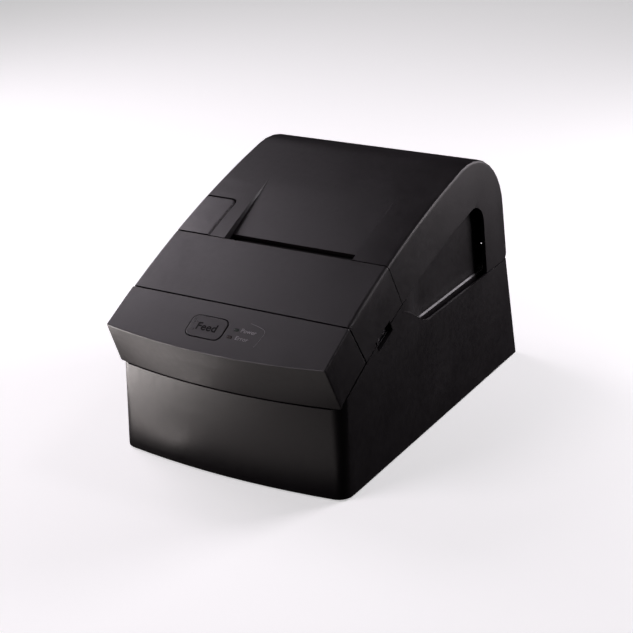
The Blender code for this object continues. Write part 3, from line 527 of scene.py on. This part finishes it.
def ink(name, colour, roughness, specular=0.4):
    """Printing ink: a thin even film with slightly ragged cover."""
    made = bpy.data.materials.new(name)
    made.use_nodes = True
    tree = made.node_tree
    shader = tree.nodes["Principled BSDF"]
    shader.inputs["Specular IOR Level"].default_value = specular
    texture = use_group(tree, grain_group, Grain_per_metre=4000.0)
    thin = tuple(0.72 * c for c in colour)
    base = blend_colours(tree, spread(tree, texture.outputs["Speck"], 0, 1), thin, colour)
    tree.links.new(base, shader.inputs["Base Color"])
    tree.links.new(spread(tree, texture.outputs["Cloud"], roughness - 0.05, roughness + 0.05),
                   shader.inputs["Roughness"])
    return made


pale_ink = ink("pale_ink", (0.34, 0.33, 0.34), 0.5)
dark_ink = ink("dark_ink", (0.0012, 0.0011, 0.0012), 0.6, specular=0.08)
INK_FILM = 0.00003
LABEL_SIZE = 0.0036


def weld(piece):
    """Join vertices that lie on one another, so that the piece is one closed skin."""
    pick(piece)
    bpy.ops.object.mode_set(mode="EDIT")
    bpy.ops.mesh.select_all(action="SELECT")
    bpy.ops.mesh.remove_doubles(threshold=0.000002)
    bpy.ops.mesh.select_all(action="DESELECT")
    bpy.ops.object.mode_set(mode="OBJECT")


def print_word(word, title, across, up, size, height, finish, body, stroke=0.0):
    """A word printed on the panel, centred at a place in the panel's own frame."""
    bpy.ops.object.text_add()
    letters = bpy.context.object
    letters.data.body = word
    letters.data.size = size
    letters.data.offset = stroke
    letters.data.align_x = "CENTER"
    letters.data.align_y = "CENTER"
    letters.data.extrude = INK_FILM
    letters.data.resolution_u = 3
    bpy.ops.object.convert(target="MESH")
    letters = bpy.context.object
    letters.name = title
    weld(letters)
    letters.data.transform(panel_frame @ Matrix.Translation((across, up, height)))
    belong(letters, finish, body)


print_word("Feed", "feed_word", 0, -0.0002, 0.0068, CAP_PROUD, dark_ink, "feed_button", stroke=0.00016)
for node, word in (("power_light_pipe", "Power"), ("error_light_pipe", "Error")):
    lamp_x = middle_along(node, Vector((1, 0, 0))) - panel_origin.x
    lamp_v = middle_along(node, panel_rearward) - panel_origin.dot(panel_rearward)
    print_word(word, f"{word.lower()}_word", lamp_x + 0.0075, lamp_v + 0.0002, LABEL_SIZE, 0, pale_ink, "base")

# The bracket: one thin printed line that turns down round the two words.
BRACKET = ((0.0235, 0.0078), (0.0272, 0.0071), (0.0312, 0.0061), (0.0337, 0.0047), (0.0343, 0.0026),
           (0.0341, 0.0002), (0.0336, -0.0028), (0.0328, -0.0060))
line = bpy.data.curves.new("panel_bracket", "CURVE")
line.dimensions = "3D"
stroke = line.splines.new("BEZIER")
stroke.bezier_points.add(len(BRACKET) - 1)
for point, (x, v) in zip(stroke.bezier_points, BRACKET):
    point.co = (x, v, 0)
    point.handle_left_type = point.handle_right_type = "AUTO"
stroke.resolution_u = 6
line.bevel_depth = 0.00009
line.bevel_resolution = 1
line.use_fill_caps = True
bracket = bpy.data.objects.new("panel_bracket", line)
bpy.context.scene.collection.objects.link(bracket)
pick(bracket)
bpy.ops.object.convert(target="MESH")
bracket = bpy.context.object
weld(bracket)
bracket.data.transform(panel_frame @ Matrix.Diagonal((1, 1, 0.5, 1)))
belong(bracket, pale_ink, "base")

# ---------------------------------------------------------------- power switch
# A small rocker switch set into the right-hand side: a black nylon body with a smoother rocker, whose two
# faces carry the usual I and O in raised strokes.
dark_nylon = moulding("dark_nylon", (0.009, 0.009, 0.0095), (0.02, 0.02, 0.02), (0.42, 0.55), 0.00002)
dress("switch_body", "switch_frame", dark_nylon, edge=0.0002)
rocker = dress("power_rocker", "rocker", key_plastic, edge=0.00025)
MARK_SIZE, MARK_STROKE, MARK_PROUD = 0.0021, 0.00035, 0.00012
faces = sorted((f for f in rocker.data.polygons if f.normal.x > 0.6), key=lambda f: -f.area)[:2]
front_face, rear_face = sorted(faces, key=lambda f: f.center.y)
for face, title in ((front_face, "rocker_on_mark"), (rear_face, "rocker_off_mark")):
    if title == "rocker_on_mark":
        bpy.ops.mesh.primitive_cube_add(size=1)
        bpy.context.object.scale = (MARK_STROKE, MARK_SIZE, 2 * MARK_PROUD)
        bpy.ops.object.transform_apply(location=True, rotation=True, scale=True)
    else:
        bpy.ops.mesh.primitive_torus_add(major_radius=MARK_SIZE / 2, minor_radius=MARK_STROKE / 2,
                                         major_segments=24, minor_segments=6)
    mark = bpy.context.object
    mark.name = title
    upright = face.normal.to_track_quat("Z", "Y").to_matrix().to_4x4()
    mark.data.transform(Matrix.Translation(face.center) @ upright)
    belong(mark, pale_ink, "power_rocker")

# ---------------------------------------------------------------- print mechanism
# A folded zinc-plated steel frame holds the thermal head, which two springs press against the rubber
# platen. A stepper motor drives the platen through acetal gears. The tear bar is blackened steel.
frame_steel = metal("frame_steel", (0.55, 0.56, 0.56), (0.28, 0.42), along=(80.0, 1800.0, 1800.0))
dark_steel = metal("dark_steel", (0.035, 0.034, 0.036), (0.35, 0.5), along=(80.0, 1800.0, 1800.0))
spring_steel = metal("spring_steel", (0.42, 0.43, 0.45), (0.2, 0.3), along=(1500.0, 1500.0, 1500.0))
can_steel = metal("can_steel", (0.48, 0.48, 0.47), (0.3, 0.45), along=(70.0, 1400.0, 1400.0))
dress("print_frame", "mechanism_frame", frame_steel, edge=0.0002)
dress("tear_bar", "tear_blade", dark_steel)
dress("feed_motor", "motor_can", can_steel, edge=0.0003)
for node, title in (("motor_shaft", "rotor_shaft"), ("idler_axle", "idler_pin"),
                    ("platen_shaft", "platen_spindle"), ("latch_rod", "latch_bar"),
                    ("latch_hook_left", "hook_left"), ("latch_hook_right", "hook_right")):
    dress(node, title, pin_steel, edge=0.0002)
for side in ("left", "right"):
    dress(f"head_spring_{side}", f"press_spring_{side}", spring_steel, sharp=70.0)

# The head is a ceramic strip with a glazed heating line, backed by a finned aluminium extrusion.
ceramic = moulding("glazed_ceramic", (0.16, 0.10, 0.06), (0.25, 0.18, 0.12), (0.16, 0.24), 0.000004, 1200.0)
aluminium = metal("extruded_aluminium", (0.66, 0.67, 0.68), (0.3, 0.42), along=(40.0, 2600.0, 2600.0))
dress("thermal_head", "heating_strip", ceramic, edge=0.00015)
dress("head_heat_sink", "finned_heat_sink", aluminium, edge=0.0002)

acetal = moulding("acetal", (0.62, 0.60, 0.53), (0.75, 0.73, 0.66), (0.36, 0.46), 0.00001, 1500.0)
for node, title in (("platen_gear", "platen_wheel"), ("idler_gear", "idler_wheel"), ("motor_pinion", "pinion"),
                    ("platen_bush_left", "bush_left"), ("platen_bush_right", "bush_right")):
    dress(node, title, acetal, edge=0.00012, sharp=40.0)

roller_rubber = moulding("roller_rubber", (0.022, 0.022, 0.023), (0.05, 0.05, 0.05), (0.62, 0.76), 0.00003,
                         grain=3000.0, specular=0.35)
dress("platen_roller", "rubber_roller", roller_rubber, edge=0.0003)
dress("platen_holder", "platen_bracket", dark_nylon, edge=0.0002)
dress("latch_lever", "lever", dark_nylon, edge=0.0002)

# ---------------------------------------------------------------- paper well and sensor
# The roll lies in a smooth trough with side walls. The grain is finer here, so that paper slides easily,
# and the sides carry a faint polish from the turning roll.
well_plastic = moulding("well_plastic", (0.0125, 0.012, 0.0125), (0.03, 0.029, 0.03), (0.4, 0.5), 0.00002,
                        grain=3200.0)
dress("paper_bucket", "paper_well", well_plastic, edge=0.0004)
dress("paper_end_sensor", "roll_sensor", dark_nylon, edge=0.0003)
dress("feed_switch", "tact_switch", dark_nylon, edge=0.0002)

# ---------------------------------------------------------------- boards and sockets
# Two green glass-epoxy boards. The sockets at the rear are soldered to the main board's edge and look out
# through a punched steel plate. Their contacts are gold-plated.
board_green = bpy.data.materials.new("board_green")
board_green.use_nodes = True
tree = board_green.node_tree
shader = tree.nodes["Principled BSDF"]
place = tree.nodes.new("ShaderNodeTexCoord")
tracks = tree.nodes.new("ShaderNodeTexBrick")
tracks.inputs["Scale"].default_value = 1.0
tracks.inputs["Brick Width"].default_value = 0.0074
tracks.inputs["Row Height"].default_value = 0.0016
tracks.inputs["Mortar Size"].default_value = 0.00022
tracks.inputs["Color1"].default_value = (0.012, 0.085, 0.035, 1)
tracks.inputs["Color2"].default_value = (0.010, 0.070, 0.030, 1)
tracks.inputs["Mortar"].default_value = (0.03, 0.15, 0.07, 1)
tree.links.new(place.outputs["Object"], tracks.inputs["Vector"])
tree.links.new(tracks.outputs["Color"], shader.inputs["Base Color"])
mask = use_group(tree, grain_group, Grain_per_metre=1500.0)
tree.links.new(spread(tree, mask.outputs["Cloud"], 0.3, 0.42), shader.inputs["Roughness"])
raised = tree.nodes.new("ShaderNodeBump")
raised.inputs["Distance"].default_value = 0.00003
tree.links.new(tracks.outputs["Fac"], raised.inputs["Height"])
tree.links.new(raised.outputs["Normal"], shader.inputs["Normal"])
dress("main_board", "control_board", board_green, edge=0.00015)
dress("panel_board", "key_board", board_green, edge=0.00015)

plate_steel = metal("plate_steel", (0.5, 0.51, 0.52), (0.3, 0.42), along=(60.0, 2000.0, 2000.0))
dress("interface_plate", "socket_plate", plate_steel, edge=0.0002)
for node in ("power_inlet", "drawer_port", "usb_port", "serial_port"):
    dress(node, f"{node}_body", dark_nylon, edge=0.0003)

gold = metal("gold_contact", (0.85, 0.6, 0.25), (0.2, 0.32), along=(2000.0, 200.0, 2000.0))


def contact(title, middle, size, body="base"):
    """One plated contact: a slim bar with chamfered edges, lying along the printer's length."""
    bpy.ops.mesh.primitive_cube_add(size=1, location=middle)
    bar = bpy.context.object
    bar.name = title
    bar.scale = size
    bpy.ops.object.transform_apply(location=True, rotation=True, scale=True)
    chamfer = bar.modifiers.new("chamfer", "BEVEL")
    chamfer.width = min(size) * 0.22
    chamfer.segments = 1
    bpy.ops.object.modifier_apply(modifier="chamfer")
    belong(bar, gold, body)
    return bar


def socket_mouth(node):
    """Middle of a socket's opening in the rear."""
    low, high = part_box(node)
    return Vector(((low.x + high.x) / 2, high.y, (low.z + high.z) / 2))


# Power: three pins in a triangle.
PIN_BACK = -0.0056       # middle of a contact, from the mouth inwards
POWER_PINS = ((-0.0022, -0.0008), (0.0022, -0.0008), (0.0, 0.0016))
mouth = socket_mouth("power_inlet")
for number, (across, up) in enumerate(POWER_PINS, 1):
    contact(f"power_pin_{number}", mouth + Vector((across, PIN_BACK, up)), (0.0010, 0.0072, 0.0010))

# Cash drawer: six wires in a row under the roof.
WIRES, WIRE_PITCH, WIRE_RISE = 6, 0.00115, 0.0024
mouth = socket_mouth("drawer_port")
for number in range(WIRES):
    across = (number - (WIRES - 1) / 2) * WIRE_PITCH
    place = Vector((across, PIN_BACK, WIRE_RISE))
    contact(f"drawer_contact_{number + 1}", mouth + place, (0.0005, 0.0070, 0.0006))

# Data: a nylon tongue with two contacts above it and two below.
TONGUE_OUT, TONGUE_SIDE, TONGUE_SKIN = 0.0004, 0.0012, 0.00140
mouth = socket_mouth("usb_port")
tongue = contact("usb_tongue", mouth + Vector((0, PIN_BACK, 0)), (0.0050, 0.0074, 0.0026))
tongue.data.materials[0] = dark_nylon
for number in range(4):
    row = -1 if number < 2 else 1
    side = -1 if number % 2 else 1
    place = Vector((side * TONGUE_SIDE, PIN_BACK + TONGUE_OUT, row * TONGUE_SKIN))
    contact(f"usb_contact_{number + 1}", mouth + place, (0.0009, 0.0060, 0.0003))

# The wide socket: thirteen pins over twelve, set half a pitch apart.
UPPER_PINS, LOWER_PINS, PIN_PITCH, ROW_RISE = 13, 12, 0.00118, 0.0014
SERIAL_BACK = -0.0058
mouth = socket_mouth("serial_port")
for number in range(UPPER_PINS + LOWER_PINS):
    upper = number < UPPER_PINS
    along = number if upper else number - UPPER_PINS + 0.5
    across = (along - (UPPER_PINS - 1) / 2) * PIN_PITCH
    place = Vector((across, SERIAL_BACK, ROW_RISE if upper else -ROW_RISE))
    contact(f"serial_pin_{number + 1}", mouth + place, (0.0005, 0.0060, 0.0005))
